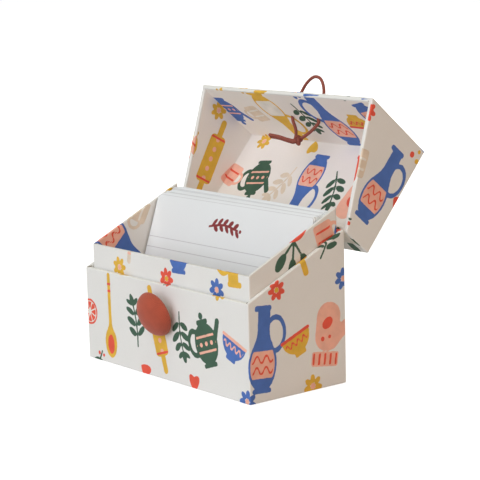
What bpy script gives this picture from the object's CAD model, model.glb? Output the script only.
"""Looks of a hinged card box: printed paper over board, a covered button, a cord loop and cards.

Every shape is worked out in millimetres, in the same frame as the solids: origin at the centre of
the case's underside, +Z up, the front facing -Y. Meshes are scaled to metres as they are made.
"""

import logging
import math
from dataclasses import dataclass, field
from enum import Enum
from itertools import product

import bpy
import numpy as np
from mathutils import Matrix


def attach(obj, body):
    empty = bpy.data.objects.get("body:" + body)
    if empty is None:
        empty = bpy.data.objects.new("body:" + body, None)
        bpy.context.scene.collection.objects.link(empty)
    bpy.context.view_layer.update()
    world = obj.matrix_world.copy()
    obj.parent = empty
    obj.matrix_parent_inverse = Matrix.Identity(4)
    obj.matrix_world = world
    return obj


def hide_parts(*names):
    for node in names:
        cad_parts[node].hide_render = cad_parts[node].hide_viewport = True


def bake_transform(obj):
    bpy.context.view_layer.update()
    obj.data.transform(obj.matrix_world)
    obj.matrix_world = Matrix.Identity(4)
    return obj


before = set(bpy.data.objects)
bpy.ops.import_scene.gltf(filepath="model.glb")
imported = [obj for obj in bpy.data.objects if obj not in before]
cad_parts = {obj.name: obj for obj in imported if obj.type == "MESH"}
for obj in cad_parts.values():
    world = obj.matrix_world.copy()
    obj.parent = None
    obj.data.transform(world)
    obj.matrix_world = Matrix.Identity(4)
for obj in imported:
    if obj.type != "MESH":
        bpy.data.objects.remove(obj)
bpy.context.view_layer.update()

LOG = logging.getLogger("card_box")
METRE = 0.001
SEED = 20417
# Height of a card's top ruled line above its foot.
RULED_TOP = 73.8
# Points that agree to so many decimals of a millimetre are one point.
WELD_DECIMALS = 4
# How far the rings of a tube's rounded end are lifted, as angles from its last full ring.
CAP_LIFTS = (math.pi / 2, 1.15, 0.7, 0.3)
# A direction in which no tube of the box sets out.
ASIDE = (0.3, 0.2, 0.93)

Array = np.ndarray
Material = bpy.types.Material
Node = bpy.types.Node
Socket = bpy.types.NodeSocket
Place = tuple[float, float, float]
Colour = tuple[float, float, float]
# What may feed a shader node's socket: another node's output, or a value of its own.
Feed = Socket | float | tuple[float, ...]


# ---- Surfaces ----
def put_up(name: str, data: bpy.types.ID) -> bpy.types.Object:
    """Makes an object on the data and puts it in the scene."""
    made = bpy.data.objects.new(name, data)
    bpy.context.scene.collection.objects.link(made)
    return made


@dataclass
class Surface:
    """A mesh in the making: points in millimetres, four-cornered faces and values at each point."""

    points: Array
    faces: Array
    values: dict[str, Array] = field(default_factory=dict)
    uv: Array | None = None

    @staticmethod
    def from_grid(points: Array, closed_u: bool = False, closed_v: bool = False) -> "Surface":
        """Joins a grid of points into faces, which look along the u direction cross the v direction.

        Args:
            points: Array of shape (v, u, 3).
            closed_u: Whether the last column joins the first.
            closed_v: Whether the last row joins the first.

        Returns:
            The surface, its points numbered row by row.
        """
        rows, columns = points.shape[:2]
        row, column = np.meshgrid(np.arange(rows - (not closed_v)),
                                  np.arange(columns - (not closed_u)), indexing="ij")
        above, right = (row + 1) % rows, (column + 1) % columns
        faces = np.stack([row * columns + column, row * columns + right,
                          above * columns + right, above * columns + column], -1).reshape(-1, 4)
        return Surface(points.reshape(-1, 3), faces)

    @staticmethod
    def joined(parts: list["Surface"]) -> "Surface":
        """All the parts as one surface.

        Args:
            parts: Surfaces that carry the same value names.

        Returns:
            One surface; it has a UV map where every part has one.
        """
        starts = np.cumsum([0] + [len(part.points) for part in parts[:-1]])
        values = {name: np.concatenate([part.values[name] for part in parts])
                  for name in parts[0].values}
        uv = None
        if all(part.uv is not None for part in parts):
            uv = np.concatenate([part.uv for part in parts])
        return Surface(np.concatenate([part.points for part in parts]),
                       np.concatenate([part.faces + start for part, start in zip(parts, starts)]),
                       values, uv)

    def flipped(self) -> "Surface":
        """The same surface facing the other way."""
        return Surface(self.points, self.faces[:, ::-1], self.values, self.uv)

    def moved(self, turn: Array, about: Array) -> "Surface":
        """The surface turned by a 3 by 3 rotation about a point."""
        return Surface((self.points - about) @ turn.T + about, self.faces, self.values, self.uv)

    def welded(self) -> "Surface":
        """Makes points in one place one point.

        Returns:
            The surface on the points that are left, in order of place.
        """
        _, first, index = np.unique(np.round(self.points, WELD_DECIMALS), axis=0, return_index=True,
                                    return_inverse=True)
        values = {name: value[first] for name, value in self.values.items()}
        uv = None if self.uv is None else self.uv[first]
        return Surface(self.points[first], index.ravel()[self.faces], values, uv)

    def to_object(self, name: str, finish: Material, body: str,
                  smooth: bool = True) -> bpy.types.Object:
        """Makes the Blender object: faces that lost a corner become triangles, lost faces go.

        Args:
            name: The object's name.
            finish: Its material.
            body: The body that it rides on, or "" where it is left free.
            smooth: Whether its faces are shaded as one round surface.

        Returns:
            The object, at the origin.
        """
        corners = self.faces
        keep = corners != np.roll(corners, -1, axis=1)
        count = keep.sum(1)
        keep, corners, count = keep[count >= 3], corners[count >= 3], count[count >= 3]
        loops = corners[keep]
        mesh = bpy.data.meshes.new(name)
        mesh.vertices.add(len(self.points))
        mesh.vertices.foreach_set("co", (self.points * METRE).astype(np.float32).ravel())
        mesh.loops.add(len(loops))
        mesh.loops.foreach_set("vertex_index", loops.astype(np.int32))
        mesh.polygons.add(len(count))
        mesh.polygons.foreach_set("loop_start", (np.cumsum(count) - count).astype(np.int32))
        mesh.polygons.foreach_set("loop_total", count.astype(np.int32))
        mesh.polygons.foreach_set("use_smooth", np.full(len(count), smooth))
        mesh.update(calc_edges=True)
        for label, value in self.values.items():
            layer = mesh.attributes.new(label, "FLOAT", "POINT")
            layer.data.foreach_set("value", value.astype(np.float32))
        if self.uv is not None:
            mesh.uv_layers.new(name="UVMap").data.foreach_set(
                "uv", self.uv[loops].astype(np.float32).ravel())
        mesh.validate()
        mesh.materials.append(finish)
        made = put_up(name, mesh)
        if body:
            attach(made, body)
        LOG.info("%s: %d points, %d faces", name, len(self.points), len(count))
        return made


def turn_about_x(degrees: float) -> Array:
    """The rotation matrix that turns +Y towards +Z by so many degrees."""
    c, s = math.cos(math.radians(degrees)), math.sin(math.radians(degrees))
    return np.array([[1, 0, 0], [0, c, -s], [0, s, c]])


def distances_along(path: Array) -> Array:
    """How far along a path each of its points lies: the sum of the steps before it."""
    return np.concatenate([[0], np.cumsum(np.linalg.norm(np.diff(path, axis=0), axis=1))])


def smooth_path(points: Array, count: int) -> Array:
    """A Catmull-Rom curve through the points, sampled evenly by parameter.

    Between two points a and b with neighbours p and n, the curve is the cubic that leaves a along
    (b - p) / 2 and reaches b along (n - a) / 2.

    Args:
        points: Array of shape (n, 3).
        count: Samples in all.

    Returns:
        Array of shape (count, 3).
    """
    ends = np.vstack([2 * points[0] - points[1], points, 2 * points[-1] - points[-2]])
    where = np.linspace(0, len(points) - 1, count)
    piece = np.minimum(where.astype(int), len(points) - 2)
    t = (where - piece)[:, None]
    p, a, b, n = (ends[piece + k] for k in range(4))
    return 0.5 * (2 * a + (b - p) * t + (2 * p - 5 * a + 4 * b - n) * t ** 2
                  + (3 * a - p - 3 * b + n) * t ** 3)


def tube(path: Array, radius: float, sides: int, capped: bool = True) -> Surface:
    """A round tube along a path, with rounded ends.

    Each ring stands square to the path on two axes that are carried along it without twist. The
    UV map runs once round in u and along the path, in multiples of the girth, in v.

    Args:
        path: Centre line, shape (n, 3), in millimetres.
        radius: The tube's radius.
        sides: Points round each ring.
        capped: Whether the ends are closed.

    Returns:
        The tube.
    """
    along = np.gradient(path, axis=0)
    along /= np.linalg.norm(along, axis=1, keepdims=True)
    side = np.cross(along[0], ASIDE)
    frames = []
    for direction in along:
        side = side - direction * (side @ direction)
        side = side / np.linalg.norm(side)
        frames.append(side)
    first = np.array(frames)
    second = np.cross(along, first)
    angle = np.linspace(0, 2 * math.pi, sides, endpoint=False)
    spread = (np.cos(angle)[None, :, None] * first[:, None] + np.sin(angle)[None, :, None]
              * second[:, None])
    rings = path[:, None] + spread * radius
    run = distances_along(path) / (2 * math.pi * radius)
    if capped:
        tips = []
        for end, way in ((0, -1), (-1, 1)):
            tips.append(np.stack([path[end] + along[end] * way * radius * math.sin(lift)
                                  + spread[end] * radius * math.cos(lift) for lift in CAP_LIFTS]))
        rings = np.concatenate([tips[0], rings, tips[1][::-1]])
        run = np.concatenate([run[[0] * len(CAP_LIFTS)], run, run[[-1] * len(CAP_LIFTS)]])
    made = Surface.from_grid(rings, closed_u=True)
    made.uv = np.stack(np.broadcast_arrays(np.arange(sides)[None, :] / sides, run[:, None]),
                       -1).reshape(-1, 2)
    return made


# ---- The print ----
class Tone(Enum):
    """Paints of the print, in the order in which they are laid down."""

    SAND = "sand"
    GOLD = "gold"
    FOREST = "forest"
    BLUE = "blue"
    PEACH = "peach"
    CORAL = "coral"
    CREAM = "cream"

    @property
    def value_name(self) -> str:
        """Name of the mesh value that holds the distance to this paint's edge."""
        return f"print_{self.value}"


Painted = dict[Tone, Array]
# Distances to a paint's edge are kept within so many millimetres.
FAR = 4.0


def disc(x: Array, y: Array, cx: float, cy: float, r: float) -> Array:
    """Signed distance to a disc: distance from its centre less its radius."""
    return np.hypot(x - cx, y - cy) - r


def oval(x: Array, y: Array, cx: float, cy: float, rx: float, ry: float,
         turn: float = 0.0) -> Array:
    """Near enough the signed distance to an ellipse: how far out of it, by its lesser radius.

    Args:
        x: Points' places across.
        y: Points' places up.
        cx: The centre's place across.
        cy: The centre's place up.
        rx: Radius across, before it is turned.
        ry: Radius up, before it is turned.
        turn: Turn to the left in radians.

    Returns:
        The distances, below nought inside.
    """
    c, s = math.cos(turn), math.sin(turn)
    u, v = (x - cx) * c + (y - cy) * s, (y - cy) * c - (x - cx) * s
    return (np.hypot(u / rx, v / ry) - 1) * min(rx, ry)


def stroke(x: Array, y: Array, start: tuple[float, float], end: tuple[float, float],
           r: float) -> Array:
    """Signed distance to a round-ended stroke: the gap to its nearest point less half its width.

    Args:
        x: Points' places across.
        y: Points' places up.
        start: Where the stroke starts.
        end: Where it ends.
        r: Half its width.

    Returns:
        The distances, below nought inside.
    """
    dx, dy = end[0] - start[0], end[1] - start[1]
    t = np.clip(((x - start[0]) * dx + (y - start[1]) * dy) / (dx * dx + dy * dy), 0, 1)
    return np.hypot(x - start[0] - t * dx, y - start[1] - t * dy) - r


def block(x: Array, y: Array, cx: float, cy: float, hx: float, hy: float,
          r: float) -> Array:
    """Signed distance to a rectangle of those half sizes with corners of radius r."""
    qx, qy = np.abs(x - cx) - hx + r, np.abs(y - cy) - hy + r
    return np.hypot(np.maximum(qx, 0), np.maximum(qy, 0)) + np.minimum(np.maximum(qx, qy), 0) - r


def band(x: Array, y: Array, cx: float, cy: float, r: float, half: float) -> Array:
    """Signed distance to a round ring of radius r and that half width."""
    return np.abs(np.hypot(x - cx, y - cy) - r) - half


def wave(x: Array, y: Array, height: float, swing: float, rate: float,
         half: float) -> Array:
    """Near enough the signed distance to a wavy line: the gap along y, less where it is steep."""
    slope = swing * rate * np.cos(x * rate)
    return np.abs(y - height - swing * np.sin(x * rate)) / np.sqrt(1 + slope * slope) - half


def melted(a: Array, b: Array, soft: float) -> Array:
    """The union of two shapes with the corner between them filled over a width of soft."""
    h = np.clip(0.5 + 0.5 * (b - a) / soft, 0, 1)
    return b * (1 - h) + a * h - soft * h * (1 - h)


def union(*shapes: Array) -> Array:
    """The union of shapes: the least of their distances."""
    return np.minimum.reduce(shapes)


@dataclass(frozen=True)
class Motif:
    """One small painting, drawn in millimetres about its own centre.

    The numbers in each painting are its shapes' places and sizes, in the order in which the shape's
    function names them.
    """

    main: Tone = Tone.GOLD
    accent: Tone = Tone.PEACH
    reach: float = 32.0

    def paint(self, x: Array, y: Array) -> Painted:
        """Signed distances to each paint's shapes at the points x, y."""
        raise NotImplementedError


class Pear(Motif):
    """A long pear: two discs melted together, with a lighter cheek, pips, a stem and a leaf."""

    def paint(self, x: Array, y: Array) -> Painted:
        """Paints the pear.

        Args:
            x: Places across.
            y: Places up.

        Returns:
            The distances, by paint.
        """
        body = melted(disc(x, y, 0, -9, 13.2), disc(x, y, 0.8, 9.5, 6.2), 9.0)
        green = union(stroke(x, y, (0.8, 15), (2.8, 23), 0.95),
                      oval(x, y, 9.6, 19.5, 7.0, 3.1, 0.45))
        heart = np.maximum(oval(x, y, 0.2, -7.5, 7.6, 9.4), body + 1.6)
        pips = union(oval(x, y, -2.4, -9.5, 1.1, 2.3, -0.25), oval(x, y, 2.6, -9.5, 1.1, 2.3, 0.25))
        return {self.main: union(body, pips), self.accent: np.maximum(heart, 0.1 - pips),
                Tone.FOREST: green}


class Jug(Motif):
    """A tall jug: a long belly, a neck with a lip, a handle and a belt with a wavy line on it."""

    def paint(self, x: Array, y: Array) -> Painted:
        """Paints the jug.

        Args:
            x: Places across.
            y: Places up.

        Returns:
            The distances, by paint.
        """
        belly = melted(oval(x, y, -1, -9.5, 11.2, 16.5), block(x, y, -1, 15, 4.8, 12, 1.5), 5.0)
        handle = np.abs(oval(x, y, 8.2, 9.5, 7.6, 10.5)) - 1.25
        pot = union(belly, block(x, y, -2, 26.2, 6.6, 1.8, 1.5), handle,
                    block(x, y, -1, -25.4, 7.4, 1.5, 1.2))
        belt = np.maximum(np.abs(y + 9) - 8.6, belly + 1.5)
        waves = union(*(wave(x, y, height, 2.1, 0.85, 0.62) for height in (-12.6, -5.6)))
        return {self.main: pot, self.accent: belt, Tone.CORAL: np.maximum(waves, belt + 1.1)}


class Teapot(Motif):
    """A round teapot with a spout, a handle and a belt of dots between two lines."""

    def paint(self, x: Array, y: Array) -> Painted:
        """Paints the teapot.

        Args:
            x: Places across.
            y: Places up.

        Returns:
            The distances, by paint.
        """
        belly = oval(x, y, 0, -2, 11.5, 13.0)
        spout = stroke(x, y, (8, -3), (15.5, 9.5), 2.0)
        handle = np.abs(oval(x, y, -11.5, 0, 5.6, 7.6)) - 1.25
        cap = union(block(x, y, 0, 11.6, 5.6, 1.6, 1.3), disc(x, y, 0, 15.4, 2.2))
        foot = block(x, y, 0, -15.4, 6.6, 1.4, 1.0)
        dots = np.hypot(np.mod(x + 2.7, 5.4) - 2.7, y + 2) - 1.45
        lines = np.abs(np.abs(y + 2) - 4.8) - 0.75
        return {self.main: union(belly, spout, handle, cap, foot),
                self.accent: np.maximum(union(dots, lines), belly + 1.5)}


class Mitt(Motif):
    """An oven mitt with a striped cuff and a spot on its palm."""

    def paint(self, x: Array, y: Array) -> Painted:
        """Paints the mitt.

        Args:
            x: Places across.
            y: Places up.

        Returns:
            The distances, by paint.
        """
        palm = melted(block(x, y, 0, 5, 9.2, 14.5, 8.8),
                      stroke(x, y, (5, -4), (14.5, 5.5), 3.9), 3.0)
        cuff = block(x, y, 0, -14.5, 10.4, 4.4, 1.5)
        stripes = np.maximum(np.abs(np.mod(x + 2.2, 4.4) - 2.2) - 0.85, cuff + 0.9)
        spots = union(oval(x, y, -0.5, 7, 4.4, 3.2, 0.7), disc(x, y, -3.2, -2.5, 1.5),
                      disc(x, y, 2.2, -1.2, 1.2))
        return {self.main: union(palm, cuff), self.accent: union(stripes, spots)}


class Beet(Motif):
    """A beetroot: a round root with a thin tail, rings across it and three leaves."""

    def paint(self, x: Array, y: Array) -> Painted:
        """Paints the beetroot.

        Args:
            x: Places across.
            y: Places up.

        Returns:
            The distances, by paint.
        """
        root = melted(disc(x, y, 0, -8, 10.6), stroke(x, y, (0.6, -16), (2.0, -26), 0.9), 5.0)
        rings = np.maximum(np.abs(np.mod(np.hypot(x, y - 3), 6.4) - 3.2) - 0.65, root + 2.4)
        leaves = [stroke(x, y, (0, 2), top, 0.85) for top in ((-8, 13), (0.5, 17), (8.5, 12))]
        leaves += [oval(x, y, -10.2, 16.4, 3.4, 7.0, 0.55), oval(x, y, 0.8, 20.5, 3.4, 7.2, -0.05),
                   oval(x, y, 10.6, 15.2, 3.3, 6.6, -0.6)]
        return {self.main: root, self.accent: rings, Tone.FOREST: union(*leaves)}


class Whisk(Motif):
    """A balloon whisk: a thick handle and five wires."""

    def paint(self, x: Array, y: Array) -> Painted:
        """Paints the whisk.

        Args:
            x: Places across.
            y: Places up.

        Returns:
            The distances, by paint.
        """
        wires = union(*(np.abs(oval(x, y, 0, 10, r, 15.5)) - 0.85 for r in (9.4, 4.8)),
                      stroke(x, y, (0, -5), (0, 25), 0.8))
        grip = union(stroke(x, y, (0, -26), (0, -9), 2.1), block(x, y, 0, -6.6, 2.4, 1.8, 0.8))
        bands = np.maximum(np.abs(np.abs(y + 18) - 2.6) - 0.8, np.abs(x) - 2.0)
        return {self.main: union(wires, grip), self.accent: bands}


class Mug(Motif):
    """A straight mug with a handle and two pale stripes."""

    def paint(self, x: Array, y: Array) -> Painted:
        """Paints the mug.

        Args:
            x: Places across.
            y: Places up.

        Returns:
            The distances, by paint.
        """
        cup = block(x, y, -2, 0, 8.2, 9.4, 2.2)
        pot = union(cup, band(x, y, 6.6, 0.5, 5.0, 1.2))
        stripes = np.maximum(np.abs(np.abs(y - 0.4) - 3.4) - 0.8, cup + 1.3)
        return {self.main: pot, self.accent: stripes}


class Sprig(Motif):
    """A stem with pairs of rounded leaves."""

    def paint(self, x: Array, y: Array) -> Painted:
        """Paints the sprig.

        Args:
            x: Places across.
            y: Places up.

        Returns:
            The distances, by paint.
        """
        bow = x - 2.2 * np.cos(y * 0.085)
        shapes = [stroke(bow, y, (0, -17.5), (0, 13), 0.72), oval(bow, y, 0, 15.2, 2.4, 4.4)]
        for height, size in ((-9.5, 1.0), (-2.2, 1.08), (5.0, 0.96), (11.2, 0.74)):
            for way in (-1, 1):
                shapes.append(oval(bow, y, way * 5.1 * size, height + 2.6, 4.9 * size, 2.25 * size,
                                   way * 0.62))
        return {self.main: union(*shapes)}


class Slice(Motif):
    """A slice of citrus: rind, pith and eight wedges."""

    def paint(self, x: Array, y: Array) -> Painted:
        """Paints the slice.

        Args:
            x: Places across.
            y: Places up.

        Returns:
            The distances, by paint.
        """
        r, angle = np.hypot(x, y), np.arctan2(y, x)
        within = np.abs(np.mod(angle, math.pi / 4) - math.pi / 8)
        wedges = np.maximum(np.maximum(r - 7.4, 0.5 - r * np.sin(math.pi / 8 - within)), 1.6 - r)
        return {self.main: r - 9.6, self.accent: wedges, Tone.CREAM: np.maximum(r - 8.2, -wedges)}


class Spoon(Motif):
    """A wooden spoon with a pale hollow and a band on its handle."""

    def paint(self, x: Array, y: Array) -> Painted:
        """Paints the spoon.

        Args:
            x: Places across.
            y: Places up.

        Returns:
            The distances, by paint.
        """
        wood = melted(stroke(x, y, (0, -27), (0, 8), 1.6), oval(x, y, 0, 17, 6.4, 9.8), 3.0)
        ring = np.maximum(np.abs(np.abs(y + 19) - 2.2) - 0.8, np.abs(x) - 1.7)
        return {self.main: wood, self.accent: union(oval(x, y, 0, 18, 3.6, 6.4), ring)}


class RollingPin(Motif):
    """A rolling pin with a row of dots."""

    def paint(self, x: Array, y: Array) -> Painted:
        """Paints the rolling pin.

        Args:
            x: Places across.
            y: Places up.

        Returns:
            The distances, by paint.
        """
        roll = block(x, y, 0, 0, 6.6, 17, 3.0)
        grips = union(stroke(x, y, (0, 18), (0, 26), 2.3), stroke(x, y, (0, -18), (0, -26), 2.3))
        dots = np.hypot(x, np.mod(y + 3.5, 7.0) - 3.5) - 1.7
        return {self.main: union(roll, grips), self.accent: np.maximum(dots, roll + 2.6),
                Tone.CORAL: np.maximum(np.abs(np.abs(y) - 15) - 0.75, roll + 0.2)}


class Bowl(Motif):
    """A bowl seen from the side, with a rim, a foot and a zigzag."""

    def paint(self, x: Array, y: Array) -> Painted:
        """Paints the bowl.

        Args:
            x: Places across.
            y: Places up.

        Returns:
            The distances, by paint.
        """
        body = union(np.maximum(disc(x, y, 0, 4.5, 13.2), y - 4.5),
                     block(x, y, 0, -9.2, 5.2, 1.7, 0.8))
        zigzag = np.maximum(wave(x, y, -0.4, 1.7, 1.15, 0.65), body + 1.4)
        return {self.main: body, self.accent: union(zigzag, block(x, y, 0, 5.0, 14.2, 1.25, 1.2))}


class Heart(Motif):
    """A plain heart: a disc sheared up on both sides of its middle."""

    def paint(self, x: Array, y: Array) -> Painted:
        """Signed distances to the heart's paint."""
        return {self.main: (np.hypot(x, 1.12 * y - 0.72 * np.abs(x)) - 5.6) * 0.8}


class Daisy(Motif):
    """A flower of seven round petals about a disc."""

    def paint(self, x: Array, y: Array) -> Painted:
        """Paints the daisy.

        Args:
            x: Places across.
            y: Places up.

        Returns:
            The distances, by paint.
        """
        part = 2 * math.pi / 7
        r, angle = np.hypot(x, y), np.mod(np.arctan2(y, x), part) - part / 2
        petals = oval(r * np.cos(angle), r * np.sin(angle), 4.9, 0, 3.0, 1.95)
        return {self.main: petals, self.accent: r - 2.0}


class Dots(Motif):
    """Three uneven dots."""

    def paint(self, x: Array, y: Array) -> Painted:
        """Signed distances to the dots' paints."""
        return {self.main: union(disc(x, y, -3.2, -1.5, 1.9), disc(x, y, 3.6, -2.4, 1.5)),
                self.accent: disc(x, y, 0.8, 4.0, 2.2)}


class Twig(Motif):
    """A short twig with two leaves and two berries."""

    def paint(self, x: Array, y: Array) -> Painted:
        """Paints the twig.

        Args:
            x: Places across.
            y: Places up.

        Returns:
            The distances, by paint.
        """
        green = union(stroke(x, y, (0, -6.5), (0.5, 2), 0.7), oval(x, y, -3.6, 2.8, 4.4, 2.0, -0.7),
                      oval(x, y, 4.2, 3.6, 4.4, 2.0, 0.75))
        return {self.main: green, self.accent: union(disc(x, y, 2.6, -3.4, 1.5),
                                                     disc(x, y, -2.8, -4.6, 1.3))}


LARGE_MOTIFS: tuple[Motif, ...] = (
    Jug(Tone.BLUE, Tone.PEACH), Pear(Tone.GOLD, Tone.CREAM), Teapot(Tone.BLUE, Tone.PEACH),
    RollingPin(Tone.GOLD, Tone.PEACH), Jug(Tone.BLUE, Tone.PEACH), Mitt(Tone.PEACH, Tone.CORAL),
    Jug(Tone.GOLD, Tone.CREAM), Whisk(Tone.SAND, Tone.PEACH), Teapot(Tone.FOREST, Tone.PEACH),
    Beet(Tone.CORAL, Tone.PEACH), Jug(Tone.BLUE, Tone.PEACH), Spoon(Tone.GOLD, Tone.CORAL),
    Jug(Tone.GOLD, Tone.PEACH),
)
MIDDLE_MOTIFS: tuple[Motif, ...] = (
    Sprig(Tone.FOREST, reach=21.0), Mug(Tone.PEACH, Tone.CORAL, 14.0),
    Bowl(Tone.BLUE, Tone.PEACH, 16.0), Sprig(Tone.FOREST, reach=21.0),
    Slice(Tone.GOLD, Tone.PEACH, 11.0), Mug(Tone.CORAL, Tone.PEACH, 14.0),
    Sprig(Tone.SAND, reach=21.0), Bowl(Tone.GOLD, Tone.CORAL, 16.0),
    Sprig(Tone.FOREST, reach=21.0), Slice(Tone.CORAL, Tone.PEACH, 11.0),
    Mug(Tone.SAND, Tone.CREAM, 14.0),
)
SMALL_MOTIFS: tuple[Motif, ...] = (
    Heart(Tone.CORAL, reach=9.0), Daisy(Tone.GOLD, Tone.PEACH, 9.5),
    Dots(Tone.GOLD, Tone.CORAL, 8.0), Twig(Tone.FOREST, Tone.CORAL, 11.0),
    Daisy(Tone.BLUE, Tone.PEACH, 9.5), Heart(Tone.GOLD, reach=9.0),
    Daisy(Tone.CORAL, Tone.GOLD, 9.5),
)


@dataclass(frozen=True)
class Course:
    """One kind of motif on the sheet's lattice.

    Its place in a cell is given across and up, as shares of the cell, its scale is that of the
    drawings, its sway the most that it turns in radians and its drift the most that it shifts in
    millimetres.
    """

    motifs: tuple[Motif, ...]
    across: float
    up: float
    scale: float
    sway: float
    drift: float


Stamp = tuple[Motif, float, float, float, float]
COURSES: tuple[Course, ...] = (
    Course(LARGE_MOTIFS, across=0.0, up=0.0, scale=0.97, sway=0.34, drift=1.2),
    Course(MIDDLE_MOTIFS, across=0.52, up=0.0, scale=0.88, sway=0.6, drift=1.2),
    Course(SMALL_MOTIFS, across=0.24, up=0.52, scale=0.88, sway=1.2, drift=1.0),
)


@dataclass(frozen=True)
class PrintedSheet:
    """An endless sheet of motifs on a loose brick lattice.

    Each cell of the lattice holds one large motif, one middling and one small, each turned and
    shifted a little by chance. What stands where depends only on the place and the seed. The dice
    take no number below nought, so cells_below_nought is added to a cell's.
    """

    seed: int
    column: float = 50.0
    row: float = 62.0
    start: tuple[float, float] = (0.0, 0.0)
    upside_down: float = 0.3
    sizes: tuple[float, float] = (0.93, 1.05)
    cells_below_nought: int = 5000

    def stamps(self, low: Array, high: Array) -> list[Stamp]:
        """The motifs that can reach into a rectangle.

        A cell's motif is picked by a sum of its column and row, so that like ones keep apart.

        Args:
            low: Least sheet coordinates.
            high: Greatest sheet coordinates.

        Returns:
            For each motif: itself, its centre, its turn in radians and its scale.
        """
        found = []
        rows = range(math.floor(low[1] / self.row) - 1, math.ceil(high[1] / self.row) + 2)
        columns = range(math.floor(low[0] / self.column) - 2, math.ceil(high[0] / self.column) + 2)
        for j, i, (kind, course) in product(rows, columns, enumerate(COURSES)):
            dice = np.random.default_rng([self.seed, i + self.cells_below_nought,
                                          j + self.cells_below_nought, kind])
            pick = i * 5 + j * (3 + kind) + (i * j) % 3
            shift = dice.uniform(-course.drift, course.drift, 2)
            turn = dice.uniform(-course.sway, course.sway)
            turn += math.pi * (dice.random() < self.upside_down)
            found.append((course.motifs[pick % len(course.motifs)],
                          (i + (j % 2) / 2 + course.across) * self.column + shift[0],
                          (j + course.up) * self.row + shift[1], turn,
                          course.scale * dice.uniform(*self.sizes)))
        return found

    def values(self, places: Array) -> dict[str, Array]:
        """Distances to each paint's edge at places on the sheet.

        Args:
            places: Sheet coordinates in millimetres, shape (n, 2).

        Returns:
            One array per paint, under the paint's value name.
        """
        places = places + self.start
        painted = {tone: np.full(len(places), FAR) for tone in Tone}
        for motif, cx, cy, turn, scale in self.stamps(places.min(0), places.max(0)):
            near = np.flatnonzero((np.abs(places[:, 0] - cx) < motif.reach * scale)
                                  & (np.abs(places[:, 1] - cy) < motif.reach * scale))
            if not len(near):
                continue
            dx, dy = places[near, 0] - cx, places[near, 1] - cy
            c, s = math.cos(turn) / scale, math.sin(turn) / scale
            for tone, distance in motif.paint(dx * c + dy * s, dy * c - dx * s).items():
                painted[tone][near] = np.minimum(painted[tone][near], distance * scale)
        return {tone.value_name: np.clip(distance, -FAR, FAR) for tone, distance in painted.items()}


# ---- Finishes ----
class NodeBench:
    """Lays out shader nodes in one tree and links them."""

    def __init__(self, tree: bpy.types.NodeTree) -> None:
        """Starts with an existing node tree."""
        self.tree = tree

    def add(self, kind: str, sockets: dict[str | int, Feed] | None = None,
            **settings: object) -> Node:
        """A new node with its settings made, and then its sockets set or linked.

        Args:
            kind: Node type name.
            sockets: Socket name or number to a value, or to an output socket to link from.
            settings: Attributes of the node.

        Returns:
            The node.
        """
        node = self.tree.nodes.new(kind)
        for name, value in settings.items():
            setattr(node, name, value)
        for key, value in (sockets or {}).items():
            if isinstance(value, Socket):
                self.link(value, node.inputs[key])
            else:
                node.inputs[key].default_value = value
        return node

    def link(self, output: Socket, to: Socket) -> None:
        """Links an output to an input."""
        self.tree.links.new(output, to)

    def maths(self, operation: str, a: Feed, b: Feed = 0.0) -> Socket:
        """The result of one sum."""
        return self.add("ShaderNodeMath", {0: a, 1: b}, operation=operation).outputs[0]

    def noise(self, scale: Feed, detail: float = 2.0,
              where: Socket | None = None) -> Socket:
        """Noise about a half.

        Args:
            scale: How fine it is: its grains to the metre.
            detail: How many finer noises are added to it.
            where: Coordinates, or none for the object's own.

        Returns:
            The socket that gives the noise.
        """
        if where is None:
            where = self.add("ShaderNodeTexCoord").outputs["Object"]
        return self.add("ShaderNodeTexNoise", {"Vector": where, "Scale": scale, "Detail": detail}
                        ).outputs["Fac"]

    def spread(self, value: Feed, low: float, high: float, to_low: float, to_high: float,
               smooth: bool = False) -> Socket:
        """A value carried from one range to another and kept inside it."""
        return self.add("ShaderNodeMapRange", {0: value, 1: low, 2: high, 3: to_low, 4: to_high},
                        interpolation_type="SMOOTHSTEP" if smooth else "LINEAR").outputs[0]

    def seen(self) -> Socket:
        """Tells the rays that show the background from those that carry light.

        Returns:
            A socket that gives 1 for what is seen straight, in a mirror or through glass, else 0.
        """
        rays = self.add("ShaderNodeLightPath").outputs
        found = self.maths("ADD", rays["Is Camera Ray"], rays["Is Glossy Ray"])
        return self.maths("MINIMUM", self.maths("ADD", found, rays["Is Transmission Ray"]), 1.0)

    def mix(self, share: Feed, first: Feed, second: Feed,
            blend: str = "MIX") -> Socket:
        """Two colours mixed; share 0 is the first."""
        return self.add("ShaderNodeMix", {0: share, 6: first, 7: second}, data_type="RGBA",
                        blend_type=blend).outputs[2]


def rgba(colour: Colour) -> tuple[float, float, float, float]:
    """A display colour, 0 to 1 per channel, as a linear one with full alpha."""
    return (*(c / 12.92 if c <= 0.04045 else ((c + 0.055) / 1.055) ** 2.4 for c in colour), 1.0)


def new_group(name: str, inputs: dict[str, str], outputs: dict[str, str]
              ) -> tuple[bpy.types.NodeTree, NodeBench, Node, Node]:
    """An empty node group with its sockets.

    Args:
        name: The group's name.
        inputs: Input names to socket types.
        outputs: Output names to socket types.

    Returns:
        The group, a bench on it, its input node and its output node.
    """
    group = bpy.data.node_groups.new(name, "ShaderNodeTree")
    for direction, sockets in (("INPUT", inputs), ("OUTPUT", outputs)):
        for socket, kind in sockets.items():
            group.interface.new_socket(socket, in_out=direction, socket_type=kind)
    bench = NodeBench(group)
    return group, bench, bench.add("NodeGroupInput"), bench.add("NodeGroupOutput")


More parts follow.
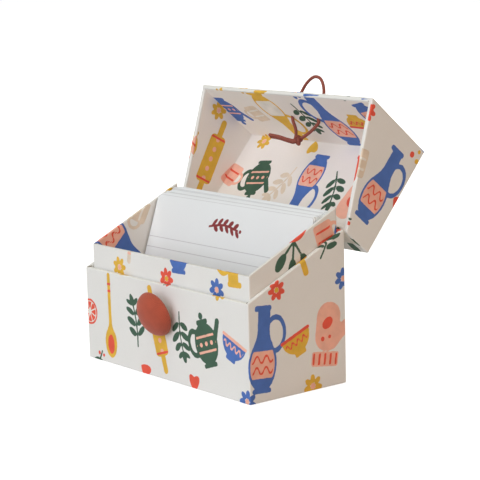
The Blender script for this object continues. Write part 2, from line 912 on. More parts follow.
def paper_grain_group() -> bpy.types.NodeTree:
    """Paper's grain: a faint mottle as a colour to multiply by, and a height for bump.

    The mottle is three parts of a broad noise and two of a fine one, taken from nought upwards.

    Returns:
        The group.
    """
    group, bench, ask, give = new_group(
        "paper_grain", {"Mottle": "NodeSocketFloat", "Fineness": "NodeSocketFloat"},
        {"Tint": "NodeSocketColor", "Height": "NodeSocketFloat"})
    where = bench.add("ShaderNodeTexCoord").outputs["Object"]
    broad = bench.noise(scale=38.0, detail=3.0, where=where)
    fine = bench.noise(scale=ask.outputs["Fineness"], detail=4.0, where=where)
    both = bench.maths("ADD", bench.maths("MULTIPLY", broad, 0.6),
                       bench.maths("MULTIPLY", fine, 0.4))
    depth = bench.maths("MULTIPLY", bench.maths("SUBTRACT", 0.5, both), ask.outputs["Mottle"])
    light = bench.maths("SUBTRACT", 1.0, depth)
    tint = bench.add("ShaderNodeCombineColor", {0: light, 1: light, 2: light})
    bench.link(tint.outputs[0], give.inputs["Tint"])
    bench.link(fine, give.inputs["Height"])
    return group


def paint_layer_group() -> bpy.types.NodeTree:
    """One paint over what lies below it.

    It covers where the distance to its edge, with a noise for a hand's wobble added, is below
    nought, and a finer noise makes it paler and darker as a brush does.

    Returns:
        The group.
    """
    group, bench, ask, give = new_group(
        "paint_layer", {"Below": "NodeSocketColor", "Paint": "NodeSocketColor",
                        "Distance": "NodeSocketFloat", "Wobble": "NodeSocketFloat"},
        {"Colour": "NodeSocketColor"})
    where = bench.add("ShaderNodeTexCoord").outputs["Object"]
    edge = 0.13
    wobble = bench.maths("SUBTRACT", bench.noise(scale=420.0, detail=2.0, where=where), 0.5)
    ragged = bench.maths("ADD", ask.outputs["Distance"],
                         bench.maths("MULTIPLY", wobble, ask.outputs["Wobble"]))
    cover = bench.spread(ragged, -edge, edge, 1.0, 0.0, smooth=True)
    streak = bench.spread(bench.noise(scale=150.0, detail=3.0, where=where), 0.3, 0.7, 0.9, 1.07)
    brushed = bench.add("ShaderNodeVectorMath", {0: ask.outputs["Paint"], "Scale": streak},
                        operation="SCALE").outputs[0]
    bench.link(bench.mix(cover, ask.outputs["Below"], brushed), give.inputs["Colour"])
    return group


@dataclass(frozen=True)
class Finish:
    """A plain finish: one colour with a faint mottle and a bump."""

    name: str
    colour: Colour
    roughness: float
    mottle: float = 0.12
    fineness: float = 900.0
    bump: float = 0.06
    bump_height: float = 0.0003
    sheen: float = 0.0
    sheen_roughness: float = 0.6

    def start(self) -> tuple[Material, NodeBench, Node]:
        """Makes the material and sets what is the same all over it.

        Returns:
            The material, a bench on it and its shader.
        """
        material = bpy.data.materials.new(self.name)
        material.use_nodes = True
        shader = material.node_tree.nodes["Principled BSDF"]
        shader.inputs["Roughness"].default_value = self.roughness
        shader.inputs["Base Color"].default_value = rgba(self.colour)
        if self.sheen:
            shader.inputs["Sheen Weight"].default_value = self.sheen
            shader.inputs["Sheen Roughness"].default_value = self.sheen_roughness
        return material, NodeBench(material.node_tree), shader

    def relief(self, bench: NodeBench, shader: Node, height: Feed) -> None:
        """Gives the shader a bump from heights of 0 to 1."""
        bump = bench.add("ShaderNodeBump", {"Strength": self.bump, "Distance": self.bump_height,
                                            "Height": height})
        bench.link(bump.outputs[0], shader.inputs["Normal"])

    def grain(self, bench: NodeBench, shader: Node, colour: Feed) -> None:
        """Multiplies the colour by the paper's grain and gives the shader that and the bump.

        Args:
            bench: The bench on the material.
            shader: Its shader.
            colour: The colour, as a value or from a node.
        """
        grain = bench.add("ShaderNodeGroup", {"Mottle": self.mottle, "Fineness": self.fineness},
                          node_tree=bpy.data.node_groups["paper_grain"])
        bench.link(bench.mix(1.0, colour, grain.outputs["Tint"], "MULTIPLY"),
                   shader.inputs["Base Color"])
        self.relief(bench, shader, grain.outputs["Height"])

    def make(self) -> Material:
        """Builds the finish.

        Returns:
            The material.
        """
        material, bench, shader = self.start()
        self.grain(bench, shader, rgba(self.colour))
        return material


@dataclass(frozen=True)
class PrintedPaper(Finish):
    """Off-white paper with the print's paints laid over it one by one."""

    paints: tuple[tuple[Tone, Colour], ...] = (
        (Tone.SAND, (0.90, 0.835, 0.755)), (Tone.GOLD, (0.90, 0.715, 0.25)),
        (Tone.FOREST, (0.20, 0.33, 0.255)), (Tone.BLUE, (0.29, 0.435, 0.72)),
        (Tone.PEACH, (0.965, 0.725, 0.64)), (Tone.CORAL, (0.91, 0.34, 0.255)),
        (Tone.CREAM, (0.945, 0.925, 0.89)),
    )
    wobble: float = 0.55

    def make(self) -> Material:
        """Builds the finish, which reads the distances to the paints' edges from the mesh.

        Returns:
            The material.
        """
        material, bench, shader = self.start()
        colour = rgba(self.colour)
        for tone, paint in self.paints:
            distance = bench.add("ShaderNodeAttribute", attribute_name=tone.value_name)
            layer = bench.add("ShaderNodeGroup", {
                "Below": colour, "Paint": rgba(paint), "Distance": distance.outputs["Fac"],
                "Wobble": self.wobble}, node_tree=bpy.data.node_groups["paint_layer"])
            colour = layer.outputs["Colour"]
        self.grain(bench, shader, colour)
        return material


@dataclass(frozen=True)
class RuledCard(Finish):
    """White card with grey ruled lines at a pitch, and a small mark in one colour.

    A line is full up to line_half from its middle and gone at line_fade, and there is none higher
    than a margin above the top one.
    """

    line_colour: Colour = (0.79, 0.79, 0.80)
    mark_colour: Colour = (0.50, 0.15, 0.16)
    top_line: float = RULED_TOP
    pitch: float = 6.9
    margin: float = 2.0
    line_half: float = 0.12
    line_fade: float = 0.34
    mark_fade: float = 0.12

    def make(self) -> Material:
        """Builds the finish: lines from the UV map, in millimetres, and the mark from the mesh.

        The height up the card, less whole pitches, is folded about half a pitch, which gives the
        distance to the nearest line.

        Returns:
            The material.
        """
        material, bench, shader = self.start()
        split = bench.add("ShaderNodeSeparateXYZ",
                          {0: bench.add("ShaderNodeUVMap", uv_map="UVMap").outputs[0]})
        up = split.outputs[1]
        raised = bench.maths("ADD", up, self.pitch * 1.5 - self.top_line % self.pitch)
        fold = bench.maths("MODULO", raised, self.pitch)
        away = bench.maths("ABSOLUTE", bench.maths("SUBTRACT", fold, self.pitch / 2))
        line = bench.spread(away, self.line_half, self.line_fade, 1.0, 0.0, smooth=True)
        below = bench.maths("LESS_THAN", up, self.top_line + self.margin)
        colour = bench.mix(bench.maths("MULTIPLY", line, below), rgba(self.colour),
                           rgba(self.line_colour))
        mark = bench.add("ShaderNodeAttribute", attribute_name="mark").outputs["Fac"]
        cover = bench.spread(mark, -self.mark_fade, self.mark_fade, 1.0, 0.0, smooth=True)
        colour = bench.mix(cover, colour, rgba(self.mark_colour))
        self.grain(bench, shader, colour)
        return material


@dataclass(frozen=True)
class Cloth(Finish):
    """Close plain cloth on the piece's own UV map, which is in millimetres."""

    scale: float = 0.45
    bump_height: float = 0.0002

    def make(self) -> Material:
        """Builds the finish: the weave is the higher of two sets of waves, across and up.

        Returns:
            The material.
        """
        material, bench, shader = self.start()
        uv = bench.add("ShaderNodeUVMap", uv_map="UVMap").outputs[0]
        waves = [bench.add("ShaderNodeTexWave", {"Vector": uv, "Scale": self.scale, "Distortion": 0.6,
                                                 "Detail": 1.0}, bands_direction=way).outputs["Fac"]
                 for way in ("X", "Y")]
        weave = bench.maths("MAXIMUM", *waves)
        worn = bench.spread(bench.noise(scale=160.0, detail=3.0), 0.3, 0.7, 0.9, 1.08)
        depth = bench.spread(weave, 0.0, 1.0, 0.84, 1.05)
        light = bench.maths("MULTIPLY", worn, depth)
        tint = bench.add("ShaderNodeCombineColor", {0: light, 1: light, 2: light}).outputs[0]
        bench.link(bench.mix(1.0, rgba(self.colour), tint, "MULTIPLY"), shader.inputs["Base Color"])
        self.relief(bench, shader, weave)
        return material


@dataclass(frozen=True)
class Braid(Finish):
    """Braided cord: two sets of strands that wind round it opposite ways."""

    dark: Colour = (0.42, 0.20, 0.16)
    turns: float = 4.0
    bump_height: float = 0.0002

    def make(self) -> Material:
        """Builds the finish on the tube's own UV map.

        A strand's height is the sine, without its sign, of the way round plus or minus the way
        along, and the braid's is the two sets' product.

        Returns:
            The material.
        """
        material, bench, shader = self.start()
        split = bench.add("ShaderNodeSeparateXYZ",
                          {0: bench.add("ShaderNodeUVMap", uv_map="UVMap").outputs[0]})
        around = bench.maths("MULTIPLY", split.outputs[0], self.turns * 2 * math.pi)
        along = bench.maths("MULTIPLY", split.outputs[1], self.turns * 2 * math.pi)
        strands = [bench.maths("ABSOLUTE", bench.maths("SINE", bench.maths(kind, around, along)))
                   for kind in ("ADD", "SUBTRACT")]
        height = bench.maths("MULTIPLY", *strands)
        cover = bench.spread(height, 0.0, 0.5, 0.0, 1.0)
        bench.link(bench.mix(cover, rgba(self.dark), rgba(self.colour)),
                   shader.inputs["Base Color"])
        self.relief(bench, shader, height)
        return material


@dataclass
class Finishes:
    """Every material of the box."""

    printed: PrintedPaper = PrintedPaper("printed_paper", (0.92, 0.918, 0.905), 0.78, mottle=0.10)
    lining: PrintedPaper = PrintedPaper("lining_paper", (0.95, 0.928, 0.905), 0.78, mottle=0.10)
    plain: Finish = Finish("plain_paper", (0.90, 0.885, 0.86), 0.8)
    hinge: Finish = Finish("hinge_paper", (0.885, 0.865, 0.83), 0.8)
    board: Finish = Finish("greyboard", (0.60, 0.575, 0.53), 0.9, mottle=0.3, fineness=700.0,
                           bump=0.2)
    ruled: RuledCard = RuledCard("ruled_card", (0.93, 0.94, 0.945), 0.72, mottle=0.05)
    cloth: Cloth = Cloth("button_cloth", (0.68, 0.29, 0.188), 0.85, bump=0.3, sheen=0.15)
    braid: Braid = Braid("cord_braid", (0.63, 0.33, 0.27), 0.75, bump=0.4)
    thread: Finish = Finish("thread", (0.55, 0.27, 0.2), 0.85)
    wood: Finish = Finish("button_wood", (0.78, 0.66, 0.5), 0.6)
    plastic: Finish = Finish("button_plastic", (0.9, 0.89, 0.86), 0.5)

    def dress(self) -> dict[str, Material]:
        """Makes the shared groups and every material.

        Returns:
            The materials, under these fields' names.
        """
        paper_grain_group()
        paint_layer_group()
        return {name: finish.make() for name, finish in vars(self).items()}


# ---- Walls of paper-covered board ----
class Panel(Enum):
    """Which wall of a box a column of points belongs to."""

    LEFT = 0
    FRONT = 1
    RIGHT = 2
    BACK = 3


@dataclass(frozen=True)
class Plan:
    """A rectangle with rounded corners, seen from above and walked from its back left corner:
    forward along the left side, across the front, back along the right side and home."""

    half_width: float
    front: float
    back: float
    corner: float
    across: int
    along: int
    closed: bool = True
    arc: int = 5

    def inset(self, by: float, corner: float | None = None) -> "Plan":
        """The same plan drawn in on every side, or on three where the back is open."""
        return Plan(self.half_width - by, self.front + by, self.back - (by if self.closed else 0),
                    self.corner if corner is None else corner, self.across, self.along,
                    self.closed, self.arc)

    def walk(self) -> tuple[Array, Array]:
        """Walks round the plan.

        Returns:
            The points in order, shape (n, 2), and each one's panel.
        """
        w, f, b, r = self.half_width, self.front, self.back, self.corner
        open_back = b if not self.closed else b - r
        runs = [((-w, open_back), (-w, f + r), self.along, Panel.LEFT),
                ((-w + r, f), (w - r, f), self.across, Panel.FRONT),
                ((w, f + r), (w, open_back), self.along, Panel.RIGHT)]
        hubs = [(-w + r, f + r, 180), (w - r, f + r, 270)]
        if self.closed:
            runs.append(((w - r, b), (-w + r, b), self.across, Panel.BACK))
            hubs += [(w - r, b - r, 0), (-w + r, b - r, 90)]
        points, panels = [], []
        for place, (start, end, count, panel) in enumerate(runs):
            points.append(np.linspace(start, end, count + 1))
            panels.append(np.full(count + 1, panel.value))
            if place < len(hubs):
                x, y, angle = hubs[place]
                sweep = np.radians(angle + np.linspace(0, 90, self.arc + 1)[1:-1])
                points.append(np.stack([x + r * np.cos(sweep), y + r * np.sin(sweep)], -1))
                panels.append(np.full(len(sweep), (panel.value + 1) % 4))
        return np.concatenate(points), np.concatenate(panels)


@dataclass(frozen=True)
class Rim:
    """A wall's top edge, which climbs straight from its front height to its back height."""

    front_height: float
    back_height: float
    front: float
    back: float

    @property
    def climb(self) -> float:
        """Rise for each millimetre towards the back."""
        return (self.back_height - self.front_height) / (self.back - self.front)

    def height(self, y: Array) -> Array:
        """Height of the rim's plane at y."""
        return self.front_height + self.climb * (y - self.front)


@dataclass(frozen=True)
class Wall:
    """Four walls, or three, as one skin: up the outside, over the rim and down the inside.

    A point of the skin is the outer plan moved towards the inner one by the share that its inset is
    of the wall's thickness, at its ring's height. The sheet that the print lies on is the skin laid
    flat: length round the outside against height, and past the rim the same wall mirrored in it.
    """

    outer: Plan
    rim: Rim
    thickness: float
    edge: float = 0.5
    inner_corner: float = 0.3
    edge_turn: tuple[float, ...] = (22.5, 45.0, 67.5, 90.0)

    def ring(self, inset: float, height: Array | float) -> Array:
        """One ring of the skin's points.

        Args:
            inset: How far it lies in from the outside.
            height: Its height, or one for each of its points.

        Returns:
            Array of shape (n, 3).
        """
        outside, _ = self.outer.walk()
        inside, _ = self.outer.inset(self.thickness, self.inner_corner).walk()
        xy = outside + (inside - outside) * (inset / self.thickness)
        return np.column_stack([xy, np.broadcast_to(height, (len(xy),))])

    def rings(self, inset: float, start: Array | float, end: Array | float,
              rows: int) -> list[Array]:
        """So many rings, and one, with the same inset from a start height to an end height."""
        return [self.ring(inset, start + (end - start) * f) for f in np.linspace(0, 1, rows + 1)]

    def rim_height(self, inset: float) -> Array:
        """Height of the rim at each point of the ring with that inset."""
        return self.cut_height(self.ring(inset, 0.0)[:, 1])

    def cut_height(self, y: Array) -> Array:
        """Height of the rim at y for each column: sloping, but cut square on the front wall."""
        _, panels = self.outer.walk()
        return np.where(panels == Panel.FRONT.value, self.rim.front_height, self.rim.height(y))

    def outside(self, low: Array | float, rows: int) -> list[Array]:
        """So many rings, and one, from a low height to where the rim's rounding starts."""
        return self.rings(0.0, low, self.rim_height(0.0) - self.edge, rows)

    @property
    def over_insets(self) -> list[float]:
        """Insets of the rings over the rim, from the outside inwards."""
        turn = np.radians(self.edge_turn)
        return [*(self.edge * (1 - np.cos(turn))), self.thickness / 2,
                *(self.thickness - self.edge * (1 - np.cos(turn[::-1]))), self.thickness]

    def over(self) -> list[Array]:
        """Turns the skin over the rim: a quarter round, a flat and a quarter round.

        Returns:
            The rings in order, each as far below the rim's plane as the quarter round is there.
        """
        turn = np.radians(self.edge_turn)
        insets = self.over_insets
        drops = [*(self.edge * (1 - np.sin(turn))), 0.0, *(self.edge * (1 - np.sin(turn[::-1]))),
                 self.edge]
        return [self.ring(i, self.rim_height(i) - d) for i, d in zip(insets, drops)]

    def inside(self, low: Array | float, rows: int) -> list[Array]:
        """So many rings from where the rim's rounding ends down to a low height."""
        top = self.rim_height(self.thickness) - self.edge
        return self.rings(self.thickness, top, low, rows)[1:]

    def laid_flat(self, rings: Array, insets: Array) -> Array:
        """Sheet coordinates of the rings' points.

        Args:
            rings: Array of shape (rings, columns, 3).
            insets: Each ring's inset.

        Returns:
            Array of shape (rings, columns, 2).
        """
        path, panels = self.outer.walk()
        run = distances_along(path)
        way = np.select([panels == Panel.LEFT.value, panels == Panel.RIGHT.value], [-1.0, 1.0], 0.0)
        slope = np.arctan(way * self.rim.climb)
        normal = np.stack([-np.sin(slope), np.cos(slope)], -1)
        flat = np.stack([np.broadcast_to(run, rings.shape[:2]), rings[..., 2]], -1)
        below = (self.cut_height(rings[..., 1]) - rings[..., 2]) * np.cos(slope)
        past = insets[:, None] + np.where(insets[:, None] >= self.thickness, 2 * below, 0.0)
        return flat + normal[None] * np.where(insets[:, None] > 0, past, 0.0)[..., None]


def printed(surface: Surface, sheet: PrintedSheet, places: Array) -> Surface:
    """Gives a surface the print's distances.

    Args:
        surface: The surface.
        sheet: The sheet that it is cut from.
        places: Each point's place on the sheet, shape (n, 2).

    Returns:
        The same surface.
    """
    surface.values = sheet.values(places)
    return surface


def floor_grid(plan: Plan, height: float, up: bool) -> Surface:
    """A flat panel inside a plan with square corners, its grid lines meeting the plan's points.

    Args:
        plan: The plan.
        height: The panel's height.
        up: Whether it faces up.

    Returns:
        The panel.
    """
    xs = np.linspace(-plan.half_width, plan.half_width, plan.across + 1)
    ys = np.linspace(plan.front, plan.back, plan.along + 1)
    x, y = np.meshgrid(xs, ys)
    made = Surface.from_grid(np.stack([x, y, np.full_like(x, height)], -1))
    return made if up else made.flipped()


# ---- Sub-assemblies ----
CASE_OUTER = Plan(half_width=83.0, front=-37.5, back=37.5, corner=0.8, across=208, along=94)
CASE_RIM = Rim(front_height=60.0, back_height=94.0, front=-37.5, back=37.5)
HINGE_AXIS = np.array([0.0, 37.8, 92.6])
LID_OPENED = turn_about_x(-130.5)
CORD_HOLES = ((-11.7, 86.0), (13.3, 86.0))
CORD_RADIUS = 1.05
Materials = dict[str, Material]


def opened(points: Array) -> Array:
    """Points given on the shut lid, as they lie with the lid open."""
    return (points - HINGE_AXIS) @ LID_OPENED.T + HINGE_AXIS


def replace(made: bpy.types.Object, slot: str, *nodes: str) -> bpy.types.Object:
    """Marks the solids that an object stands for and its material slot.

    Args:
        made: The object.
        slot: What its material is called on the finished part.
        nodes: Names of the solids.

    Returns:
        The same object.
    """
    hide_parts(*nodes)
    return made


@dataclass
class Case:
    """The outer case: printed paper over four boards and a floor."""

    wall: Wall = Wall(CASE_OUTER, CASE_RIM, thickness=3.0, edge=0.7)
    sheet: PrintedSheet = PrintedSheet(SEED + 5, start=(350.0, 340.0))
    bottom: float = 0.3
    turned_in: float = 14.0
    outside_rows: int = 98
    inside_rows: int = 14

    def build(self) -> Surface:
        """The paper: from the turn-in underneath, up the outside, over the rim and down inside.

        Returns:
            The printed surface; round the bottom edge its rings follow a quarter circle.
        """
        wall, e, bottom = self.wall, self.wall.edge, self.bottom
        turn = np.radians([0, 30, 60])
        round_insets = e * (1 - np.sin(turn))
        under = [wall.ring(wall.thickness, bottom)]
        under += [wall.ring(inset, bottom + e * (1 - math.cos(t)))
                  for inset, t in zip(round_insets, turn)]
        outside = wall.outside(bottom + e, self.outside_rows)
        over = wall.over()
        inside = wall.inside(wall.rim_height(wall.thickness) - self.turned_in, self.inside_rows)
        rings = np.stack(under + outside + over + inside)
        insets = np.array([wall.thickness, *round_insets] + [0.0] * len(outside) + wall.over_insets
                          + [wall.thickness] * len(inside))
        places = wall.laid_flat(rings, insets)
        return printed(Surface.from_grid(rings, closed_u=True), self.sheet, places.reshape(-1, 2))

    def dress(self, materials: Materials) -> None:
        """Puts the paper on the case."""
        made = self.build().to_object("case_cover", materials["printed"], "case")
        replace(made, "printed_paper", "base_cover_paper")


@dataclass
class Tray:
    """The inner tray, which stands above the case on three sides.

    Its skin has fine rows where it shows, from a little below the case's rim, and coarse ones below;
    the back wall's strip is laid on the sheet at back_start, the floor at floor_start.
    """

    wall: Wall = Wall(Plan(half_width=79.7, front=-33.5, back=34.1, corner=0.6, across=200,
                           along=86, closed=False),
                      Rim(front_height=75.0, back_height=107.2, front=-33.5, back=34.1),
                      thickness=2.0, edge=0.4)
    sheet: PrintedSheet = PrintedSheet(SEED + 7, start=(815.0, 341.0))
    bottom: float = 3.0
    floor: float = 5.7
    back_height: float = 98.0
    below_case_rim: float = 4.0
    fine_depth: float = 34.0
    outside_rows: int = 17
    fine_rows: int = 28
    coarse_rows: int = 20
    end_drop: float = 0.6
    back_coarse: tuple[float, ...] = (20.0, 40.0)
    back_fine_front: float = 55.0
    back_fine_back: float = 90.0
    back_front_rings: int = 45
    back_back_rings: int = 10
    back_columns: int = 174
    back_start: float = 900.0
    floor_cells: tuple[int, int] = (60, 26)
    floor_start: float = 1500.0

    def skin(self) -> Surface:
        """Three walls' paper: up the outside, over the rim and down inside to the floor.

        Returns:
            The printed surface; one more column closes the wall's end at each side of the back.
        """
        wall, thickness = self.wall, self.wall.thickness
        low = CASE_RIM.height(wall.ring(0.0, 0.0)[:, 1]) - self.below_case_rim
        outside = [wall.ring(0.0, self.bottom), *wall.outside(low, self.outside_rows)]
        over = wall.over()
        middle = wall.rim_height(thickness) - self.fine_depth
        inside = wall.inside(middle, self.fine_rows)
        inside += wall.rings(thickness, middle, self.floor, self.coarse_rows)[1:]
        rings = np.stack(outside + over + inside)
        insets = np.array([0.0] * len(outside) + wall.over_insets + [thickness] * len(inside))
        places = wall.laid_flat(rings, insets)
        ends = []
        for column, side in ((0, -1), (-1, 1)):
            end = rings[:, column].copy()
            end[:, 0] = side * (wall.outer.half_width - thickness / 2)
            end[:, 2] = np.minimum(end[:, 2], wall.rim.height(wall.outer.back) - self.end_drop)
            ends.append(end[:, None])
        rings = np.concatenate([ends[0], rings, ends[1]], axis=1)
        places = np.concatenate([places[:, :1], places, places[:, -1:]], axis=1)
        return printed(Surface.from_grid(rings), self.sheet, places.reshape(-1, 2))

    def back(self) -> Surface:
        """The back wall's strip: up its front, over its top and down its back.

        Returns:
            The printed surface: a profile of straight lines and two quarter circles, carried across.
        """
        wall, top, e = self.wall, self.back_height, self.wall.edge
        front, back = wall.outer.back - wall.thickness, wall.outer.back
        turn = np.radians([30, 60, 90])
        fine = np.linspace(self.back_fine_front, top - e, self.back_front_rings)
        profile = [(front, z) for z in (self.floor, *self.back_coarse, *fine)]
        profile += [(front + e * (1 - math.cos(t)), top - e * (1 - math.sin(t))) for t in turn]
        profile += [(back - e * (1 - math.cos(t)), top - e * (1 - math.sin(t))) for t in turn[::-1]]
        fine = np.linspace(top - e, self.back_fine_back, self.back_back_rings)
        profile += [(back, z) for z in (*fine, self.bottom)]
        profile = np.array(profile)
        half = wall.outer.half_width - wall.thickness
        x = np.linspace(-half, half, self.back_columns + 1)
        rings = np.stack([np.column_stack([x, np.full_like(x, y), np.full_like(x, z)])
                          for y, z in profile])
        run = distances_along(profile)
        places = np.stack(np.broadcast_arrays(x[None, :] + self.back_start, run[:, None]), -1)
        return printed(Surface.from_grid(rings), self.sheet, places.reshape(-1, 2))

    def bottom_panel(self) -> Surface:
        """The paper on the tray's floor.

        Returns:
            The printed panel, from wall to wall.
        """
        outer, t = self.wall.outer, self.wall.thickness
        plan = Plan(outer.half_width - t, outer.front + t, outer.back - t, 0.0, *self.floor_cells)
        panel = floor_grid(plan, self.floor, up=True)
        return printed(panel, self.sheet, panel.points[:, :2] + self.floor_start)

    def dress(self, materials: Materials) -> None:
        """Puts the paper on the tray.

        Args:
            materials: The box's materials.
        """
        surface = Surface.joined([self.skin(), self.back(), self.bottom_panel()])
        made = surface.to_object("tray_cover", materials["printed"], "case")
        replace(made, "printed_paper", "tray_cover_paper")


@dataclass
class Lid:
    """The lid: one printed sheet over its outside and rim and another lining it.

    It is worked out upside down, with heights below nought, so that its rim is the wall's top edge;
    the mirror image of that is the shut lid, and turning about the hinge opens it.
    """

    wall: Wall = Wall(CASE_OUTER,
                      Rim(front_height=-60.3, back_height=-94.3, front=-37.5, back=37.5),
                      thickness=3.0, edge=0.7)
    outer_sheet: PrintedSheet = PrintedSheet(SEED + 19)
    lining_sheet: PrintedSheet = PrintedSheet(SEED + 43)
    top: float = -117.0
    ceiling: float = -114.0
    turned_in: float = 1.4
    fold: float = 0.9
    outside_rows: int = 64
    lining_rows: int = 61
    lining_gap: float = 0.4
    hole_radius: float = 1.4
    hole_cut: float = 1.45
    hole_reach: float = 9.0

    def unfolded(self, points: Array, level: float, inset: float) -> Array:
        """Sheet coordinates of a cross about the panel at a level: each wall folds out flat.

        A point further out than the fold, a little inside the walls, is moved out by its height
        above the panel.

        Args:
            points: Points in the upside-down frame, shape (n, 3).
            level: The panel's height.
            inset: How far the walls' face lies inside the lid's outside.

        Returns:
            Array of shape (n, 2).
        """
        x, y, rise = points[:, 0], points[:, 1], points[:, 2] - level
        w, d = CASE_OUTER.half_width - inset, CASE_OUTER.back - inset
        to_side, to_end = np.abs(x) - w + self.fold, np.abs(y) - d + self.fold
        on_side = (to_side > 0) & (to_side >= to_end)
        on_end = (to_end > 0) & ~on_side
        return np.stack([x + np.where(on_side, np.sign(x) * rise, 0),
                         y + np.where(on_end, np.sign(y) * rise, 0)], -1)

    def pierced(self, surface: Surface, face: float) -> Surface:
        """Opens the two cord holes in the front wall's skin.

        Faces whose corners are on average within hole_cut of a hole's middle are cut out, and the
        points round the cut are drawn in or out to the hole's circle.

        Args:
            surface: The skin.
            face: Where the front wall's skin stands, along y.

        Returns:
            The skin with its holes.
        """
        points, faces = surface.points.copy(), surface.faces
        for x, z in CORD_HOLES:
            offset = points[:, [0, 2]] - [x, -z]
            on_face = np.abs(points[:, 1] - face) < self.wall.thickness / 10
            away = np.where(on_face, np.hypot(*offset.T), math.inf)
            cut = away[faces].mean(1) < self.hole_cut
            edge = np.intersect1d(faces[cut], faces[~cut])
            edge = edge[away[edge] < self.hole_reach]
            outward = offset[edge] / away[edge, None]
            points[np.ix_(edge, [0, 2])] = [x, -z] + outward * self.hole_radius
            faces = faces[~cut]
        return Surface(points, faces, surface.values)

    def finish(self, surface: Surface) -> Surface:
        """Turns the upside-down surface into the open lid's."""
        shut = Surface(surface.points * [1, 1, -1], surface.faces[:, ::-1], surface.values)
        return shut.welded().moved(LID_OPENED, HINGE_AXIS)

    def cover(self) -> Surface:
        """The outer sheet: top panel, walls, rim and a little way inside.

        Returns:
            The printed surface on the open lid; round the top panel's edge it is a quarter round.
        """
        e, wall = self.wall.edge, self.wall
        outside_walk, _ = wall.outer.walk()
        sharp = wall.outer.inset(e, 0.0)
        sharp_walk, _ = sharp.walk()
        rings = []
        for t in np.radians([0.0, *wall.edge_turn[:-1]]):
            share = 1 - math.sin(t)
            xy = outside_walk + (sharp_walk - outside_walk) * share
            rings.append(np.column_stack([xy, np.full(len(xy), self.top + e * (1 - math.cos(t)))]))
        outside = wall.outside(self.top + e, self.outside_rows)
        over = wall.over()
        inside = wall.inside(wall.rim_height(wall.thickness) - self.turned_in, 1)
        rings = np.stack(rings + outside + over + inside)
        skin = Surface.from_grid(rings, closed_u=True)
        skin = printed(skin, self.outer_sheet, self.unfolded(skin.points, self.top, 0.0))
        panel = floor_grid(sharp, self.top, up=False)
        panel = printed(panel, self.outer_sheet, panel.points[:, :2])
        return self.finish(self.pierced(Surface.joined([skin, panel]), wall.outer.front))

    def lining(self) -> Surface:
        """The inner sheet: from just inside the rim down the walls and over the ceiling.

        Returns:
            The printed surface on the open lid.
        """
        wall, thickness = self.wall, self.wall.thickness
        start = wall.rim_height(thickness) - self.turned_in
        end = self.ceiling + self.lining_gap
        sharp = wall.outer.inset(thickness, 0.0)
        sharp_walk, _ = sharp.walk()
        last = np.column_stack([sharp_walk, np.full(len(sharp_walk), self.ceiling)])
        rings = np.stack([*wall.rings(thickness, start, end, self.lining_rows), last])
        skin = Surface.from_grid(rings, closed_u=True)
        skin = printed(skin, self.lining_sheet, self.unfolded(skin.points, self.ceiling, thickness))
        panel = floor_grid(sharp, self.ceiling, up=True)
        panel = printed(panel, self.lining_sheet, panel.points[:, :2])
        return self.finish(self.pierced(Surface.joined([skin, panel]), wall.outer.front + thickness))

    def dress(self, materials: Materials) -> None:
        """Puts both sheets on the lid.

        Args:
            materials: The box's materials.
        """
        made = self.cover().to_object("lid_cover", materials["printed"], "lid")
        replace(made, "printed_paper", "lid_cover_paper")
        made = self.lining().to_object("lid_lining", materials["lining"], "lid")
        replace(made, "printed_paper", "lid_lining_paper")


@dataclass
class PaperHinge:
    """One strip of paper glued to both back walls, which bends along the crease between them."""

    half_length: float = 81.0
    half_thickness: float = 0.15
    columns: int = 41
    back: float = 37.65
    case_heights: tuple[float, ...] = (78.6, 84.0, 89.0, 91.4, 92.3)
    crease: tuple[tuple[float, float], ...] = ((37.69, 92.52), (37.83, 92.66), (38.0, 92.63))
    lid_rises: tuple[float, ...] = (0.3, 1.0, 3.0, 7.0, 14.0)
    blend_start: Place = (0, 0.0378, 0.0916)
    blend_end: Place = (0, 0.03856, 0.09195)

    def build(self) -> Surface:
        """The strip: a section that goes up the case, round the crease and down the lid's back.

        Returns:
            The section, its middle line moved out to both sides, carried along the box and closed.
        """
        shut_leaf = [(0, self.back, HINGE_AXIS[2] + rise) for rise in self.lid_rises]
        line = np.vstack([[(self.back, z) for z in self.case_heights], self.crease,
                          opened(np.array(shut_leaf))[:, 1:]])
        along = np.gradient(line, axis=0)
        along /= np.linalg.norm(along, axis=1, keepdims=True)
        out = np.column_stack([along[:, 1], -along[:, 0]]) * self.half_thickness
        section = np.vstack([line + out, (line - out)[::-1]])
        middle = np.vstack([line, line[::-1]])
        xs = np.linspace(self.half_length, -self.half_length, self.columns)
        sections = [middle, *[section] * len(xs), middle]
        places = [xs[0], *xs, xs[-1]]
        grid = np.stack([np.column_stack([np.full(len(s), x), s])
                         for x, s in zip(places, sections)], 1)
        return Surface.from_grid(grid, closed_v=True)

    def dress(self, materials: Materials) -> None:
        """Hangs the strip between the case and the lid.

        Args:
            materials: The box's materials.
        """
        made = self.build().to_object("hinge_strip", materials["hinge"], "")
        replace(made, "hinge_paper", "hinge_strip_base", "hinge_strip_lid")
        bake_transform(made)


